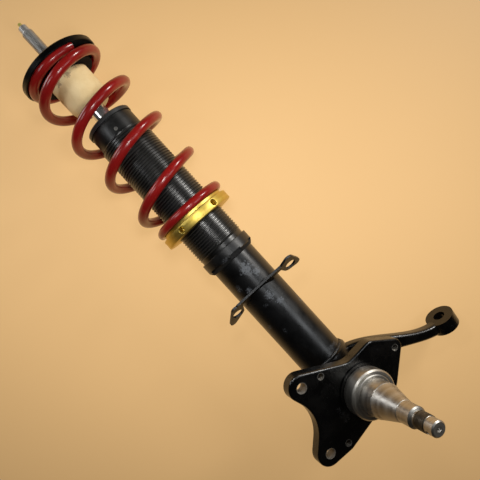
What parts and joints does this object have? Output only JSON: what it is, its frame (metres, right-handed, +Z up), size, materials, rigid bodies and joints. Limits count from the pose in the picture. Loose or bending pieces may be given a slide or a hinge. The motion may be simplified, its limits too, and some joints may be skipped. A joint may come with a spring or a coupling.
{
  "type": "coilover strut",
  "caption": "Coilover strut with threaded body, coil spring, gold seat ring, foam bump stop, stub axle, brake lugs and steering arm.",
  "frame": {"origin": "mouth of the ball joint bore in the foot of the knuckle, on the strut's axis", "axes": "+Z up the strut's axis, -Y outboard on the side of the stub axle, +X towards the steering arm"},
  "size_m": [0.219, 0.1836, 0.5494],
  "materials": {
    "tube_black": "satin black paint with scuffs",
    "casting_black": "satin black paint over cast iron",
    "black_anodised": "glossy black anodised",
    "gold_anodised": "gold anodised",
    "spring_red": "glossy red powder coat",
    "foam": "cream microcellular foam",
    "rod_chrome": "hard chrome",
    "bare_steel": "machined bare steel",
    "zinc_steel": "zinc plated",
    "brass": "turned brass",
    "bronze": "sintered bronze",
    "inner_steel": "drawn steel",
    "inner_alloy": "machined alloy",
    "seal_rubber": "nitrile rubber",
    "band_plastic": "filled fluoropolymer"
  },
  "bodies": {
    "housing": {"strut_tube": "tube_black", "knuckle": "casting_black", "stub_axle": "bare_steel", "hose_bracket": "tube_black", "support_collar": "black_anodised", "threaded_sleeve": "black_anodised", "gland_nut": "black_anodised", "gland_lock_screw": "zinc_steel", "tube_foot_plug": "inner_steel", "pressure_tube": "inner_steel", "foot_valve": "inner_alloy", "foot_valve_disc": "zinc_steel", "foot_valve_rivet": "inner_steel", "rod_guide": "inner_alloy", "guide_bush": "bronze", "guide_o_ring": "seal_rubber", "rod_seal": "seal_rubber", "rod_wiper": "seal_rubber"},
    "band": {"piston_band": "band_plastic"},
    "rod": {"piston_rod": "rod_chrome", "piston": "inner_alloy", "compression_shims": "zinc_steel", "rebound_shims": "zinc_steel", "piston_nut": "zinc_steel", "rebound_stop": "seal_rubber", "bump_stop": "foam"},
    "upper_seat": {"upper_spring_seat": "black_anodised"},
    "needle": {"metering_needle": "inner_steel"},
    "adjuster": {"adjuster_screw": "brass"},
    "spring": {"coil_spring": "spring_red"},
    "seat_ring": {"spring_seat_ring": "gold_anodised"}
  },
  "joints": [
    {"name": "rod_slide", "type": "slide", "parent": "housing", "child": "band", "axis": [0, 0, 1], "range_m": [-0.042, 0], "stiffness_N_per_m": 55000, "deforming": ["coil_spring", "bump_stop"]},
    {"name": "rod_spin", "type": "hinge", "parent": "band", "child": "rod", "pos_m": [0, 0, 0.3], "axis": [0, 0, 1], "continuous": true},
    {"name": "upper_seat_spin", "type": "hinge", "parent": "rod", "child": "upper_seat", "pos_m": [0, 0, 0.47], "axis": [0, 0, 1], "continuous": true},
    {"name": "needle_lift", "type": "slide", "parent": "rod", "child": "needle", "axis": [0, 0, -1], "range_m": [0, 0.0014]},
    {"name": "adjuster_turn", "type": "hinge", "parent": "needle", "child": "adjuster", "pos_m": [0, 0, 0.53], "axis": [0, 0, -1], "range_deg": [0, 720.1]},
    {"name": "ring_height", "type": "slide", "parent": "housing", "child": "spring", "axis": [0, 0, -1], "range_m": [0, 0.0345]},
    {"name": "ring_turn", "type": "hinge", "parent": "spring", "child": "seat_ring", "pos_m": [0, 0, 0.262], "axis": [0, 0, -1], "range_deg": [0, 4140.1]}
  ],
  "couplings": [
    {"joint": "ring_turn", "follows": "ring_height", "rad_per_m": 2094.4},
    {"joint": "adjuster_turn", "follows": "needle_lift", "rad_per_m": 8976}
  ]
}
